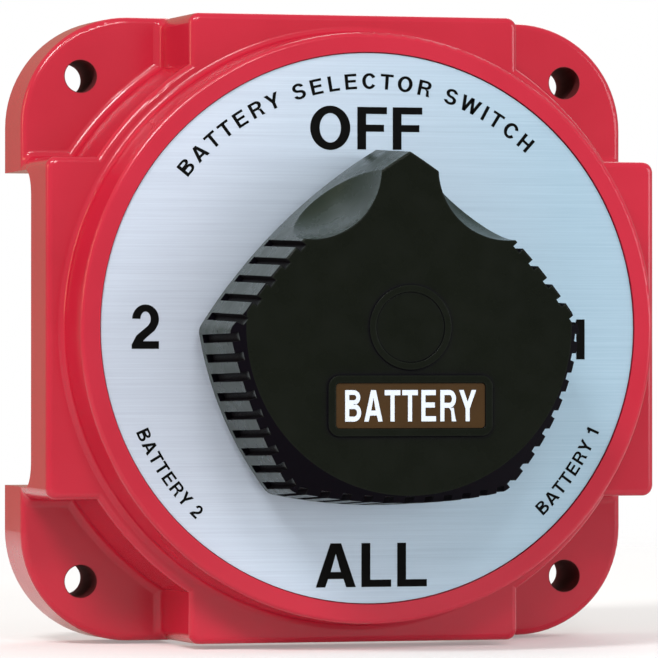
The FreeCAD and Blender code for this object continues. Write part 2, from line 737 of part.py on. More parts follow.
def make_shaft():
    """The steel shaft: round in its bore, flatted at both ends, with a seal groove and a tapped hole."""
    round_bar = rod("shaft_bar", "Sizes.shaft_radius", "Sizes.shaft_back", "Sizes.shaft_tip")
    tools = []
    for start, end in (("Sizes.shaft_back - Sizes.overcut", "Sizes.rotor_front"),
                       ("Sizes.shaft_neck_top", "Sizes.shaft_tip + Sizes.overcut")):
        for side in ("1", "-1"):
            tools.append(block("shaft_flat_cut", "Sizes.shaft_radius", "3 * Sizes.shaft_radius", start, end,
                               f"{side} * (Sizes.shaft_flat + Sizes.shaft_radius / 2)"))
    groove_start = "Sizes.seal_height - Sizes.seal_groove_width / 2"
    groove_end = "Sizes.seal_height + Sizes.seal_groove_width / 2"
    tools.append(cut("shaft_groove",
                     rod("groove_outer", "Sizes.shaft_radius + Sizes.overcut", groove_start, groove_end),
                     [drill("groove_inner", "Sizes.seal_groove_radius", groove_start, groove_end)]))
    tools.append(rod("shaft_tapping", "Sizes.knob_screw_radius + Sizes.thread_gap",
                     "Sizes.shaft_tip - Sizes.knob_screw_length + Sizes.tapping_spare",
                     "Sizes.shaft_tip + Sizes.overcut"))
    return label(cut("shaft_cut", round_bar, tools), "knob_shaft")


def make_shaft_seal():
    """The rubber ring that seals the shaft in the case's bore."""
    ring = doc.addObject("Part::Torus", "seal_ring")
    bind(ring, Radius1="Sizes.shaft_radius - Sizes.seal_wire", Radius2="Sizes.seal_wire")
    return label(place(ring, "Sizes.seal_height"), "shaft_seal")


def make_detent_balls():
    """Two steel balls that drop into the case's dimples at each of the four positions."""
    height = "Sizes.chamber_roof - Sizes.ball_radius - Sizes.ball_clearance"
    label(ball("right_ball", "Sizes.ball_radius", "Sizes.detent_circle", 0, height), "right_detent_ball")
    label(ball("left_ball", "Sizes.ball_radius", "Sizes.detent_circle", 180, height), "left_detent_ball")
    back = size("ball_pocket_floor")
    front = size("chamber_roof") - 2 * size("ball_radius") - size("ball_clearance")
    for side, turn in (("right", 0), ("left", 180)):
        coil_spring(side + "_spring", side + "_detent_spring", size("detent_spring_radius"),
                    size("detent_spring_wire"), back, front, [polar(size("detent_circle"), turn)])


def make_contact_springs():
    """Three coil springs that press the bridge back onto the fixed contacts."""
    centres = [polar(size("contact_spring_circle"), turn) for turn in CONTACT_SPRING_TURNS]
    back = size("chamber_floor") + size("contact_thickness") + size("bridge_thickness")
    coil_spring("bridge_springs", "contact_springs", size("contact_spring_radius"),
                size("contact_spring_wire"), back, size("contact_spring_seat"), centres)


# Knob ------------------------------------------------------------------------------------------------


def bulged(start, end, bulge):
    """The point of an arc halfway from start to end, bulge outside the straight line."""
    along = end - start
    outward = Vector(-along.y, along.x, 0).normalize()
    return (start + end) * 0.5 + outward * bulge


def knob_sides():
    """The knob's five sides at its base as (start, middle, end), clockwise from the pointer's tip."""
    tip = Vector(0, size("knob_tip"), 0)
    side = Vector(size("knob_side"), -size("knob_side_drop"), 0)
    heel = Vector(size("knob_heel_width"), -size("knob_heel"), 0)
    left_heel = Vector(-heel.x, heel.y, 0)
    left_side = Vector(-side.x, side.y, 0)
    upper, lower = size("knob_upper_bulge"), size("knob_lower_bulge")
    return [
        (tip, bulged(tip, side, upper), side),
        (side, bulged(side, heel, lower), heel),
        (heel, bulged(heel, left_heel, size("knob_heel_bulge")), left_heel),
        (left_heel, bulged(left_heel, left_side, lower), left_side),
        (left_side, bulged(left_side, tip, upper), tip),
    ]


def make_knob_blank():
    """The knob's outside before the finger scoops and the ribs: a drafted prism, bevelled below."""
    body = new_body("knob_blank")
    outline = front_sketch(body, "knob_outline", "Sizes.knob_base")
    for index, (start, middle, end) in enumerate(knob_sides()):
        outline.addGeometry(Part.Arc(start, middle, end), False)
        outline.addConstraint(Sketcher.Constraint("Block", index))
    solid = pad(body, outline, "Sizes.knob_face - Sizes.knob_base", "-Sizes.knob_draft")
    for name, radius, test in (
        ("knob_tip_rounding", "Sizes.knob_tip_round", is_tip_edge),
        ("knob_side_rounding", "Sizes.knob_side_round", is_side_edge),
        ("knob_heel_rounding", "Sizes.knob_heel_round", is_heel_edge),
        ("knob_face_rounding", "Sizes.knob_edge_round", is_face_edge),
    ):
        solid = fillet(body, solid, name, radius, test)
    return body


def is_upright(edge):
    """Whether an edge runs from the knob's base to its face."""
    heights = [-vertex.Point.y for vertex in edge.Vertexes]
    return min(heights) < size("knob_base") + 1 and max(heights) > size("knob_face") - 1


def is_tip_edge(edge):
    """The pointer's tip."""
    return is_upright(edge) and middle(edge).z > size("knob_tip") / 2


def is_side_edge(edge):
    """The corners at the knob's widest point."""
    return is_upright(edge) and abs(middle(edge).z) < size("knob_tip") / 2


def is_heel_edge(edge):
    """The corners below."""
    return is_upright(edge) and middle(edge).z < -size("knob_tip") / 2


def is_face_edge(edge):
    """The rim of the face."""
    return at_height(edge, "knob_face")


def make_bevel_cutter():
    """What the cone round the face takes off the lower half of the knob."""
    body = new_body("knob_bevel")
    sketch = plane_sketch(body, "bevel_section", "YZ_Plane")
    slope = math.tan(math.radians(size("bevel_slope")))
    over, outer = size("overcut"), size("bevel_face_radius") + size("bevel_reach")
    corners = [(-size("knob_face") - over, over / slope - size("bevel_face_radius")),
               (-size("knob_face") - over, -outer),
               (size("bevel_reach") * slope - size("knob_face"), -outer)]
    for start, end in zip(corners, corners[1:] + corners[:1]):
        index = sketch.addGeometry(Part.LineSegment(Vector(*start, 0), Vector(*end, 0)), False)
        sketch.addConstraint(Sketcher.Constraint("Block", index))
    turned = body.newObject("PartDesign::Revolution", "bevel_turned")
    turned.Profile = sketch
    turned.ReferenceAxis = (sketch, ["H_Axis"])
    turned.Midplane = True
    turned.setExpression("Angle", "2 * Sizes.bevel_half_angle")
    body.Tip = turned
    return body


def make_scoops():
    """The two finger scoops beside the pointer: ellipsoids centred on the face plane."""
    scoops = []
    for side in ("1", "-1"):
        scoop = doc.addObject("Part::Ellipsoid", "scoop")
        bind(scoop, Radius1="Sizes.scoop_depth", Radius2="Sizes.scoop_radius", Radius3="Sizes.scoop_radius")
        place(scoop, "Sizes.knob_face", f"{side} * Sizes.scoop_across", "Sizes.scoop_up")
        scoops.append(scoop)
    return scoops


def make_grooves():
    """The slots between the knob's grip ribs, evenly spaced along each side and sloped with its draft."""
    counts = (UPPER_GROOVES, LOWER_GROOVES, HEEL_GROOVES, LOWER_GROOVES, UPPER_GROOVES)
    grooves = []
    for (start, middle, end), count in zip(knob_sides(), counts):
        arc = Part.Arc(start, middle, end)
        length = arc.length()
        for step in range(count):
            along = length * groove_share(step, count, start, end)
            parameter = arc.parameterAtDistance(along, arc.FirstParameter)
            grooves.append(make_groove(arc.value(parameter), arc.tangent(parameter)[0]))
    return grooves


def groove_share(step, count, start, end):
    """How far along its side a groove lies; the upper sides are ribbed only below the scoops."""
    if count != UPPER_GROOVES:
        return (step + 0.5) / count
    share = size("rib_first") + (size("rib_last") - size("rib_first")) * step / (count - 1)
    return share if start.y > end.y else 1 - share


def make_groove(point, tangent):
    """One slot: a bar sunk into the side at a point, starting above the base's plain lip."""
    across = Vector(tangent.x, 0, tangent.y).normalize()
    outward = Vector(-across.z, 0, across.x)
    if outward.dot(Vector(point.x, 0, point.y)) < 0:
        outward = outward * -1
    lean = math.radians(size("knob_draft"))
    rise = Vector(0, -math.cos(lean), 0) - outward * math.sin(lean)
    foot = Vector(point.x, -size("knob_base"), point.y) + rise * size("rib_lip")
    bar = doc.addObject("Part::Box", "rib_groove")
    bind(bar, Length="Sizes.rib_groove", Width="3 * Sizes.rib_depth",
         Height="Sizes.knob_face - Sizes.knob_base")
    turn = Rotation(across, rise.cross(across), rise, "ZXY")
    corner = foot - across * (size("rib_groove") / 2)
    bar_axis = turn.multVec(Vector(0, 1, 0))
    depth = size("rib_depth") if bar_axis.dot(outward) > 0 else 2 * size("rib_depth")
    bar.Placement = Placement(corner - bar_axis * depth, turn)
    return bar


def make_knob_cavity():
    """The hollow under the knob, which keeps a wall round the scoops and the ribbed sides."""
    body = new_body("knob_cavity")
    sketch = front_sketch(body, "cavity_outline", "Sizes.knob_base - Sizes.overcut")
    radius, inset = size("knob_cavity_radius"), size("knob_cavity_side")
    side_turn = size("knob_cavity_side_angle")
    normal, along = polar(1, side_turn), polar(1, side_turn - 90)
    low = polar(radius, side_turn - math.degrees(math.acos(inset / radius)))
    scoop = Vector(size("scoop_across"), size("scoop_up"), 0)
    clear = size("scoop_radius") + size("scoop_wall")
    gap = scoop.dot(normal) - inset
    high = scoop - normal * gap + along * math.sqrt(clear ** 2 - gap ** 2)
    top = size("knob_cavity_top")
    neck = Vector(scoop.x - math.sqrt(clear ** 2 - (scoop.y - top) ** 2), top, 0)
    toward = ((high + neck) * 0.5 - scoop).normalize()
    hollow = scoop + toward * clear

    def mirrored(point):
        return Vector(-point.x, point.y, 0)

    outline = [
        Part.Arc(low, Vector(0, -radius, 0), mirrored(low)),
        Part.LineSegment(mirrored(low), mirrored(high)),
        Part.Arc(mirrored(high), mirrored(hollow), mirrored(neck)),
        Part.LineSegment(mirrored(neck), neck),
        Part.Arc(neck, hollow, high),
        Part.LineSegment(high, low),
    ]
    for curve in outline:
        index = sketch.addGeometry(curve, False)
        sketch.addConstraint(Sketcher.Constraint("Block", index))
    body.Tip = pad(body, sketch, "Sizes.knob_roof - Sizes.knob_base + Sizes.overcut")
    return body


def make_web(turn):
    """One of the webs that stiffen the hub inside the knob."""
    web = doc.addObject("Part::Box", "knob_web")
    bind(web, Length="Sizes.knob_cavity_side", Width="Sizes.web_thickness",
         Height="Sizes.knob_roof - Sizes.web_back + Sizes.overcut")
    outward, sideways = polar(1, turn), polar(1, turn + 90)
    outward, sideways = Vector(outward.x, 0, outward.y), Vector(sideways.x, 0, sideways.y)
    web.Placement = Placement(Vector(0, -size("web_back"), 0) + sideways * (size("web_thickness") / 2),
                              Rotation(outward, sideways * -1, Vector(0, -1, 0), "ZXY"))
    return web


def make_knob():
    """The black pointer knob: ribbed skirt, finger scoops, hollow back with a webbed hub."""
    shell = cut("knob_shell", make_knob_blank(), [make_knob_cavity()])
    hub = rod("knob_hub", "Sizes.hub_radius", "Sizes.hub_back", "Sizes.knob_roof + Sizes.overcut")
    webs = [make_web(turn) for turn in WEB_TURNS]
    rim = rod("plug_rim", "Sizes.plug_rim_radius", "Sizes.knob_face - Sizes.overcut",
              "Sizes.knob_face + Sizes.plug_rim_rise")
    frame = new_body("badge_frame")
    outline = front_sketch(frame, "badge_frame_outline", "Sizes.knob_face - Sizes.overcut")
    rounded_rectangle(outline, "Sizes.badge_width + 2 * Sizes.badge_frame",
                      "Sizes.badge_height + 2 * Sizes.badge_frame", "Sizes.badge_corner + Sizes.badge_frame",
                      "-Sizes.badge_drop")
    frame.Tip = pad(frame, outline, "Sizes.badge_rise + Sizes.overcut")
    solid = fuse("knob_solid", [shell, hub] + webs + [rim, frame])

    seat = new_body("badge_seat")
    outline = front_sketch(seat, "badge_seat_outline", "Sizes.knob_face - Sizes.badge_sink")
    rounded_rectangle(outline, "Sizes.badge_width", "Sizes.badge_height", "Sizes.badge_corner",
                      "-Sizes.badge_drop")
    seat.Tip = pad(seat, outline, "Sizes.badge_sink + Sizes.badge_rise + Sizes.overcut")
    tools = make_scoops() + make_grooves() + [make_bevel_cutter(), seat]
    tools.append(rod("plug_seat", "Sizes.plug_seat_radius", "Sizes.plug_seat",
                     "Sizes.knob_face + Sizes.plug_rim_rise + Sizes.overcut"))
    tools.append(drill("knob_screw_hole", "Sizes.knob_screw_radius + Sizes.knob_screw_gap",
                       "Sizes.socket_top", "Sizes.plug_seat"))
    tools.append(shaft_socket("knob_socket", "Sizes.hub_back - Sizes.overcut", "Sizes.socket_top"))
    return label(cut("knob_cut", solid, tools), "knob")


def make_centre_plug():
    """The round plug that hides the knob's screw."""
    disc = rod("plug_disc", "Sizes.plug_radius", "Sizes.plug_back", "Sizes.knob_face + Sizes.plug_rise")
    return label(disc, "centre_plug")


def make_knob_fastening():
    """The screw and washer that clamp the knob to its shaft."""
    under_head = "Sizes.plug_seat + Sizes.knob_washer_thickness"
    head_top = under_head + " + Sizes.knob_screw_head_height"
    disc = rod("knob_washer_disc", "Sizes.knob_washer_radius", "Sizes.plug_seat", under_head)
    hole = drill("knob_washer_hole", "Sizes.knob_screw_radius + Sizes.knob_screw_gap", "Sizes.plug_seat",
                 under_head)
    label(cut("knob_washer_cut", disc, [hole]), "knob_washer")
    shank = rod("knob_screw_shank", "Sizes.knob_screw_radius", under_head + " - Sizes.knob_screw_length",
                under_head)
    head = rod("knob_screw_head", "Sizes.knob_screw_head_radius", under_head, head_top)
    recess = cross_recess("knob_screw_recess", "Sizes.knob_screw_recess_radius",
                          "Sizes.knob_screw_recess_width", under_head + " + Sizes.knob_screw_head_height / 2",
                          head_top + " + Sizes.overcut")
    label(cut("knob_screw_cut", fuse("knob_screw_blank", [shank, head]), [recess]), "knob_screw")


def make_badge():
    """The label plate in the frame below the plug."""
    body = new_body("knob_badge")
    outline = front_sketch(body, "badge_outline", "Sizes.knob_face - Sizes.badge_sink")
    rounded_rectangle(outline, "Sizes.badge_width - 2 * Sizes.badge_gap",
                      "Sizes.badge_height - 2 * Sizes.badge_gap", "Sizes.badge_corner", "-Sizes.badge_drop")
    body.Tip = pad(body, outline, "Sizes.badge_thickness")
    return body


SUBPARTS = [
    "housing", "dial_plate", "terminal_base", "base_screws",
    "common_contact", "battery_one_contact", "battery_two_contact",
    "common_stud", "battery_one_stud", "battery_two_stud",
    "stud_washers", "stud_lock_washers", "stud_nuts",
    "contact_bridge", "contact_springs", "rotor", "knob_shaft", "shaft_seal",
    "right_detent_ball", "left_detent_ball", "right_detent_spring", "left_detent_spring",
    "knob", "centre_plug", "knob_washer", "knob_screw", "knob_badge",
]


def build():
    """Make every sub-part of the switch."""
    make_housing()
    make_dial_plate()
    make_terminal_base()
    make_base_screws()
    make_common_contact()
    for kind in ("battery_one", "battery_two"):
        make_battery_contact(kind, STUD_TURNS[kind])
    for kind, turn in STUD_TURNS.items():
        make_stud(kind, turn)
    make_stud_hardware()
    make_bridge()
    make_rotor()
    make_contact_springs()
    make_shaft()
    make_shaft_seal()
    make_detent_balls()
    make_knob()
    make_centre_plug()
    make_knob_fastening()
    make_badge()
    doc.recompute()


def write():
    """Check the document and write one STEP file for each sub-part."""
    for thing in doc.Objects:
        if "Invalid" in thing.State or "Error" in thing.State:
            raise RuntimeError(f"{thing.Name} ({thing.Label}) failed: {thing.State}")
    os.makedirs("parts", exist_ok=True)
    for name in SUBPARTS:
        shape = doc.getObjectsByLabel(name)[0].Shape
        if shape.isNull() or not shape.isValid():
            raise RuntimeError(f"{name} has no valid shape")
        shape.exportStep(f"parts/{name}.step")
        box = shape.BoundBox
        print(f"{name}: {len(shape.Solids)} solids, {shape.Volume:.1f} mm3, "
              f"{box.XLength:.2f} x {box.YLength:.2f} x {box.ZLength:.2f}")


build()
write()
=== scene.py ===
import json
import math
import bmesh
import bpy
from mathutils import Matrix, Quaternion, Vector


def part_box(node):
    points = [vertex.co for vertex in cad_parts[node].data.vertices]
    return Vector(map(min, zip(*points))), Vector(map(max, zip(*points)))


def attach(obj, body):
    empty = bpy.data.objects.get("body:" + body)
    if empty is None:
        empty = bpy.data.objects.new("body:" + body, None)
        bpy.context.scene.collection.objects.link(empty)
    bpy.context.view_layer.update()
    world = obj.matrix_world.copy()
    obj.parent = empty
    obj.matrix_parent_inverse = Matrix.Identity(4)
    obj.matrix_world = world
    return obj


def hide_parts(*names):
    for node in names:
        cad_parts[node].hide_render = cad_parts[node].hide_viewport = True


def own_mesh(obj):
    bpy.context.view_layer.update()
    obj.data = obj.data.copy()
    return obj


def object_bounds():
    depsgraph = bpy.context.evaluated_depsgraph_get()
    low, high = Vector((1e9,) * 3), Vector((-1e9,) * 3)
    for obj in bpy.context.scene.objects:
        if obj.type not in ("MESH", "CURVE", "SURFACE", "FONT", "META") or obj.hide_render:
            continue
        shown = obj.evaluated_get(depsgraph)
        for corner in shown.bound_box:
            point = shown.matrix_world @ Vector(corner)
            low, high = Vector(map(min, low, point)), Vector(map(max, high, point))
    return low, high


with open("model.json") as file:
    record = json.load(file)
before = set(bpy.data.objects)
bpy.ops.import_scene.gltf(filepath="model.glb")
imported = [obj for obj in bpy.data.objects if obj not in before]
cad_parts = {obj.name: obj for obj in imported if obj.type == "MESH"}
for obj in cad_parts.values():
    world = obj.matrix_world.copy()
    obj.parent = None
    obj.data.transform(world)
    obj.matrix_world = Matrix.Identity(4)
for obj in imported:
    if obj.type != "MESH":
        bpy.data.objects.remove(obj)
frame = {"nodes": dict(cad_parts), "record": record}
CAD_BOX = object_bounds()
MM = 0.001

# A boat's battery switch. Metres; +Z is up, the front faces -Y and the mounting plane is y = 0.
FACE = -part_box("dial_plate")[0].y  # how far the dial's front stands from the mounting plane
SCENE = bpy.context.scene


# Nodes -----------------------------------------------------------------------------------------------


def feed(tree, value, socket):
    """Link another socket to this one, or set it to a constant."""
    if isinstance(value, bpy.types.NodeSocket):
        tree.links.new(value, socket)
    else:
        socket.default_value = value


def add_node(tree, kind, **values):
    """A new node: _0, _1 and so on are its inputs by number, other keys name inputs or settings."""
    made = tree.nodes.new(kind)
    for key, value in values.items():
        name = key.replace("_", " ")
        if key[0] == "_":
            feed(tree, value, made.inputs[int(key[1:])])
        elif name in made.inputs:
            feed(tree, value, made.inputs[name])
        else:
            setattr(made, key, value)
    return made


# Camera and studio -----------------------------------------------------------------------------------

CAMERA_AT = Vector((-0.2792, -1.1180, -0.0062))
CAMERA_YAW = math.radians(14.289)
CAMERA_PITCH = math.radians(0.314)
LENS = 271.6

WHITE = (1.0, 1.0, 1.0, 1.0)
WARM_GREY = (0.68, 0.50, 0.37, 1.0)
AMBIENT = 0.60  # strength of the light from all round
WARM_START = 0.3  # that light is white up to this Y part of its direction
WARM_END = 0.9  # and fully warm, as from a room behind the switch, from this one

FLOOR_SIDE = 12.0
FLOOR_DROP = 0.0004  # gap between the case and the floor
FLOOR_OPACITY = 0.75  # how opaque the floor is round the switch
FLOOR_NEAR = 0.22  # it keeps that opacity this far from the switch
FLOOR_FAR = 0.75  # and has faded into the white surround this far from it


def make_camera():
    """A long lens to the left of the switch, level with the middle of its dial."""
    data = bpy.data.cameras.new("camera")
    data.sensor_width = 36.0
    data.lens = LENS
    data.clip_start = 0.05
    data.clip_end = 50.0
    camera = bpy.data.objects.new("camera", data)
    SCENE.collection.objects.link(camera)
    camera.location = CAMERA_AT
    camera.rotation_euler = (math.pi / 2 + CAMERA_PITCH, 0.0, -CAMERA_YAW)
    SCENE.camera = camera


def area_light(name, place, size, power, spin=0.0, colour=(1.0, 1.0, 1.0)):
    """A soft rectangular light aimed at the switch, turned by spin degrees about its own axis."""
    data = bpy.data.lights.new(name, "AREA")
    data.shape = "RECTANGLE"
    data.size, data.size_y = size
    data.energy = power
    data.color = colour
    light = bpy.data.objects.new(name, data)
    SCENE.collection.objects.link(light)
    light.location = place
    aim = (-Vector(place)).to_track_quat("-Z", "Y")
    light.rotation_euler = (aim @ Quaternion((0, 0, 1), math.radians(spin))).to_euler()


def make_surround():
    """A surround that looks white and lights the switch: white from the front, warm from behind."""
    world = bpy.data.worlds.new("studio")
    world.use_nodes = True
    SCENE.world = world
    tree = world.node_tree
    tree.nodes.clear()
    direction = add_node(tree, "ShaderNodeTexCoord").outputs["Generated"]
    back = add_node(tree, "ShaderNodeSeparateXYZ", Vector=direction).outputs["Y"]
    warmth = add_node(tree, "ShaderNodeMapRange", Value=back, From_Min=WARM_START, From_Max=WARM_END)
    tint = add_node(tree, "ShaderNodeMix", data_type="RGBA", Factor=warmth.outputs[0],
                    _6=WHITE, _7=WARM_GREY)
    ambient = add_node(tree, "ShaderNodeBackground", Color=tint.outputs[2], Strength=AMBIENT)
    seen = add_node(tree, "ShaderNodeBackground", Color=WHITE, Strength=1.0)
    rays = add_node(tree, "ShaderNodeLightPath")
    mix = add_node(tree, "ShaderNodeMixShader", Fac=rays.outputs["Is Camera Ray"],
                   _1=ambient.outputs[0], _2=seen.outputs[0])
    add_node(tree, "ShaderNodeOutputWorld", Surface=mix.outputs[0])


def make_floor():
    """A pale floor just under the case."""
    bpy.ops.mesh.primitive_plane_add(size=FLOOR_SIDE, location=(0, 0, CAD_BOX[0].z - FLOOR_DROP))
    floor = bpy.context.object
    floor.name = "floor"
    floor.data.materials.append(make_floor_paint())


def make_studio():
    """The surround, the floor and soft lights."""
    SCENE.view_settings.view_transform = "Standard"
    make_surround()
    make_floor()
    area_light("key", (-0.72, -1.00, 1.02), (0.42, 0.14), 14.0, 38.0)
    area_light("left_strip", (-1.3, 0.05, 0.35), (0.5, 0.5), 3.5, colour=(1.0, 0.66, 0.36))
    area_light("front", (-0.04, -1.32, 0.74), (0.25, 0.25), 4.5)
    area_light("fill", (1.15, -1.05, 0.25), (0.9, 0.6), 6.5, colour=(0.92, 0.97, 1.0))
    area_light("back", (0.6, 1.3, 0.9), (1.0, 1.0), 6.5)


# Materials -------------------------------------------------------------------------------------------

WEAR_REACH = 0.0006  # how far worn edges reach on to the faces beside them
GROOVE_REACH = 0.003  # grooves narrower than about this are darkened with painted shade
HOLE_SHADE_START = 0.05 * MM  # painted shade on a mounting hole's wall is full up to this far outside the hole's radius
HOLE_SHADE_END = 0.25 * MM  # and gone from here


class Paint:
    """A Principled material and the few node chains that the finishes share."""

    def __init__(self, name, **sockets):
        self.material = bpy.data.materials.new(name)
        self.material.use_nodes = True
        self.tree = self.material.node_tree
        self.shader = self.tree.nodes["Principled BSDF"]
        for key, value in sockets.items():
            self.shader.inputs[key.replace("_", " ")].default_value = value

    def node(self, kind, **values):
        return add_node(self.tree, kind, **values)

    def place(self):
        """Where a point lies, in the frame's own coordinates."""
        return self.node("ShaderNodeTexCoord").outputs["Object"]

    def along(self, axis):
        """The distance along one of the frame's axes."""
        return self.node("ShaderNodeSeparateXYZ", Vector=self.place()).outputs[axis]

    def noise(self, scale, stretch=(1.0, 1.0, 1.0), detail=4.0, roughness=0.55):
        """A grey noise in the frame's own coordinates, its scale in waves a metre."""
        stretched = self.node("ShaderNodeMapping", Vector=self.place(), Scale=stretch)
        texture = self.node("ShaderNodeTexNoise", Vector=stretched.outputs[0], Scale=scale,
                            Detail=detail, Roughness=roughness)
        return texture.outputs["Fac"]

    def spread(self, grey, low, high, start=0.3, end=0.7):
        """A grey value spread out: low up to start, high from end, and a straight slope between."""
        return self.node("ShaderNodeMapRange", Value=grey, From_Min=start, From_Max=end,
                         To_Min=low, To_Max=high).outputs[0]

    def combine(self, operation, first, second):
        """Two grey values put together by an arithmetic node."""
        return self.node("ShaderNodeMath", operation=operation, _0=first, _1=second).outputs[0]

    def blend(self, grey, first, second):
        """A colour between two, chosen by a grey value."""
        first, second = (colour if isinstance(colour, bpy.types.NodeSocket) else (*colour, 1.0)
                         for colour in (first, second))
        return self.node("ShaderNodeMix", data_type="RGBA", Factor=grey, _6=first, _7=second).outputs[2]

    def rounded_normal(self, radius):
        """The surface's normal as if its edges were rounded to a radius."""
        return self.node("ShaderNodeBevel", Radius=radius, samples=4).outputs[0]

    def edges(self):
        """0 on flats and 1 along edges: how far a rounded normal leans from the true one."""
        rounded = self.rounded_normal(WEAR_REACH)
        true = self.node("ShaderNodeNewGeometry").outputs["Normal"]
        lean = self.node("ShaderNodeVectorMath", operation="DOT_PRODUCT", _0=rounded, _1=true)
        return self.spread(lean.outputs["Value"], 0.0, 1.0, 0.995, 0.90)

    def hollow_shade(self):
        """Painted shade mask: 1 deep in grooves and corners and 0 where the surface is open."""
        shade = self.node("ShaderNodeAmbientOcclusion", Distance=GROOVE_REACH, samples=8)
        return self.spread(shade.outputs["AO"], 1.0, 0.0, 0.60, 0.95)

    def colour(self, value):
        feed(self.tree, value, self.shader.inputs["Base Color"])

    def rough(self, value):
        feed(self.tree, value, self.shader.inputs["Roughness"])

    def bump(self, height, strength, distance, round_edges=0.0):
        """Fine relief; round_edges softens the shading of edges over that many metres."""
        made = self.node("ShaderNodeBump", Height=height, Strength=strength, Distance=distance)
        if round_edges:
            feed(self.tree, self.rounded_normal(round_edges), made.inputs["Normal"])
        feed(self.tree, made.outputs[0], self.shader.inputs["Normal"])

    def shine(self, level):
        """How strongly the surface mirrors at a steep angle."""
        self.shader.inputs["Specular IOR Level"].default_value = level


def make_floor_paint():
    """Matt white paint that fades into the surround far from the switch."""
    paint = Paint("floor_paint", Roughness=0.9)
    paint.shine(0.1)
    paint.colour(paint.blend(paint.noise(3.0), (0.92, 0.92, 0.92), (0.95, 0.95, 0.95)))
    reach = paint.node("ShaderNodeVectorMath", operation="LENGTH", _0=paint.place())
    fade = paint.spread(reach.outputs["Value"], FLOOR_OPACITY, 0.0, FLOOR_NEAR, FLOOR_FAR)
    feed(paint.tree, fade, paint.shader.inputs["Alpha"])
    return paint.material


def make_red_plastic():
    """Glossy moulded red, with faint flow marks, slightly paler rubbed edges and painted shade darkening
    the walls of the mounting holes.
    """
    paint = Paint("red_plastic")
    paint.shine(0.45)
    flow = paint.spread(paint.noise(22.0), 0, 1)
    tone = paint.blend(flow, (0.43, 0.008, 0.026), (0.49, 0.012, 0.035))
    worn = paint.blend(paint.edges(), tone, (0.48, 0.013, 0.034))
    # painted shade: the mounting-hole walls are darkened to deep maroon and made rough
    hole_shade = bolt_hole_shade_mask(paint)
    paint.colour(paint.blend(hole_shade, worn, (0.110, 0.001, 0.003)))
    gloss = paint.spread(paint.noise(90.0, detail=6.0), 0.14, 0.22)
    paint.rough(paint.combine("MAXIMUM", gloss, hole_shade))
    paint.bump(paint.noise(420.0, detail=3.0), 0.05, 0.0002, 0.0002)
    return paint.material


def bolt_hole_shade_mask(paint):
    """1 on the walls of the four mounting holes, where shade is painted, and 0 elsewhere."""
    mount = next(item for item in frame["record"]["mounts"] if item["kind"] == "bolt_pattern")
    half_pitch = mount["dims"]["spacing_x_mm"] * MM / 2
    radius = mount["dims"]["hole_r_mm"] * MM
    quarter = paint.node("ShaderNodeVectorMath", operation="ABSOLUTE", _0=paint.place())
    offset = paint.node("ShaderNodeVectorMath", operation="SUBTRACT", _0=quarter.outputs[0],
                        _1=(half_pitch, 0.0, half_pitch))
    flat = paint.node("ShaderNodeVectorMath", operation="MULTIPLY", _0=offset.outputs[0],
                      _1=(1.0, 0.0, 1.0))
    reach = paint.node("ShaderNodeVectorMath", operation="LENGTH", _0=flat.outputs[0])
    return paint.spread(reach.outputs["Value"], 1.0, 0.0, radius + HOLE_SHADE_START, radius + HOLE_SHADE_END)


def make_brushed_aluminium():
    """Aluminium brushed from side to side, with painted shading that makes its grey darker and greener
    towards the right.
    """
    paint = Paint("brushed_aluminium", Metallic=0.35, Anisotropic=0.6)
    fine = paint.noise(1.0, (60.0, 60.0, 9000.0), 3.0, 0.6)
    broad = paint.noise(1.0, (22.0, 22.0, 2600.0), 4.0, 0.6)
    lines = paint.combine("ADD", fine, broad)  # so about 1 on average
    # painted shading: the dial's grey is paler on the left and darker and greener towards the right
    shade_to_right = paint.spread(paint.along("X"), 0.0, 1.0, -0.040, 0.045)
    dull = paint.blend(shade_to_right, (0.52, 0.57, 0.67), (0.31, 0.44, 0.54))
    bright = paint.blend(shade_to_right, (0.61, 0.67, 0.77), (0.37, 0.51, 0.61))
    paint.colour(paint.blend(paint.spread(lines, 0, 1, 0.7, 1.3), dull, bright))
    paint.rough(paint.spread(lines, 0.34, 0.46, 0.7, 1.3))
    paint.bump(lines, 0.12, 0.00004)
    return paint.material


